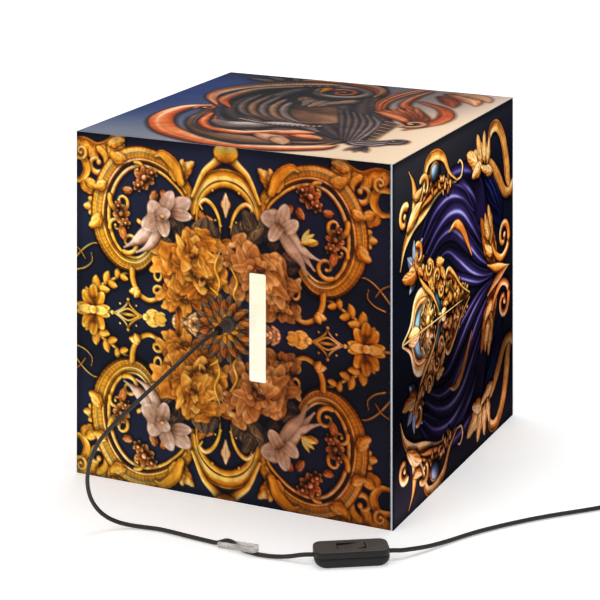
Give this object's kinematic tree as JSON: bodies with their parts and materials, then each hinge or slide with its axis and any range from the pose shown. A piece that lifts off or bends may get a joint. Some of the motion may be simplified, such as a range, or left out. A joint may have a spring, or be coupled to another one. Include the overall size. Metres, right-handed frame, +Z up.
{
  "type": "cube table lamp",
  "caption": "Cube table lamp with printed translucent panels, a magnet-held service panel carrying the lampholder, and a cord with an adjuster, a rocker switch and a plug.",
  "frame": {"origin": "centre of the cube's underside, on the surface it stands on", "axes": "+Z up; -Y is the outward normal of the service panel, the side that the cord leaves; +X to the right of someone facing that panel"},
  "size_m": [0.5765, 0.4234, 0.3],
  "materials": {
    "print_front": "printed satin acrylic, gold on near-black",
    "print_side": "printed satin acrylic, purple and gold on charcoal",
    "print_top": "printed satin acrylic, peach to navy",
    "opal_acrylic": "opal, satin",
    "clear_acrylic": "clear, polished",
    "clear_plastic": "clear moulded plastic",
    "grey_nylon": "fine satin",
    "black_plastic": "fine moulded texture",
    "cord_pvc": "satin sheath",
    "tie_fabric": "hook and loop",
    "white_plastic": "moulded",
    "opal_bulb": "opal diffuser",
    "led_board": "printed board",
    "zinc_steel": "zinc plated",
    "nickel": "nickel plated",
    "brass": "plain",
    "wire_brown": "insulated core",
    "wire_blue": "insulated core"
  },
  "bodies": {
    "shell": {"block_front_left_high": "clear_acrylic", "block_front_left_low": "clear_acrylic", "block_front_right_high": "clear_acrylic", "block_front_right_low": "clear_acrylic", "block_rear_left_high": "clear_acrylic", "block_rear_left_low": "clear_acrylic", "block_rear_right_high": "clear_acrylic", "block_rear_right_low": "clear_acrylic", "bottom_panel": "opal_acrylic", "left_panel": "print_side", "magnet_left_high": "nickel", "magnet_left_low": "nickel", "magnet_right_high": "nickel", "magnet_right_low": "nickel", "rear_panel": "print_side", "right_panel": "print_side", "top_panel": "print_top"},
    "service_panel": {"centre_contact": "brass", "coil_tie": "tie_fabric", "contact_lamp_side": "brass", "contact_mains_side": "brass", "cord_adjuster": "clear_plastic", "cord_bushing": "black_plastic", "cord_coil": "cord_pvc", "cord_grip": "grey_nylon", "cord_panel": "print_front", "holder_cap": "white_plastic", "holder_insulator": "white_plastic", "holder_nut": "zinc_steel", "holder_skirt": "white_plastic", "lamp_lead": "cord_pvc", "line_core": "wire_brown", "mains_lead": "cord_pvc", "neutral_core": "wire_blue", "neutral_link": "wire_blue", "panel_nut": "zinc_steel", "panel_washer": "zinc_steel", "plug_body": "black_plastic", "plug_pin_line": "nickel", "plug_pin_neutral": "nickel", "plug_strain_relief": "black_plastic", "plug_tail": "cord_pvc", "screw_shell": "brass", "steel_disc_left_high": "zinc_steel", "steel_disc_left_low": "zinc_steel", "steel_disc_right_high": "zinc_steel", "steel_disc_right_low": "zinc_steel", "switch_base": "black_plastic", "switch_cover": "black_plastic", "terminal_screw_line": "brass", "terminal_screw_neutral": "brass", "threaded_nipple": "zinc_steel"},
    "rocker": {"switch_rocker": "black_plastic"},
    "bulb": {"bulb_cap": "nickel", "bulb_contact": "brass", "bulb_collar": "white_plastic", "led_board": "led_board", "bulb_globe": "opal_bulb"}
  },
  "joints": [
    {"name": "panel_pull", "type": "slide", "parent": "shell", "child": "service_panel", "axis": [0, -1, 0], "range_m": [0, 0.2]},
    {"name": "rocker_tilt", "type": "hinge", "parent": "service_panel", "child": "rocker", "pos_m": [0.14215, -0.2179, 0.0101], "axis": [-0.527, 0.8499, 0], "range_deg": [0, 14]},
    {"name": "bulb_screw", "type": "hinge", "parent": "service_panel", "child": "bulb", "pos_m": [0, -0.1, 0.15], "axis": [0, 1, 0], "range_deg": [0, 1080]}
  ]
}
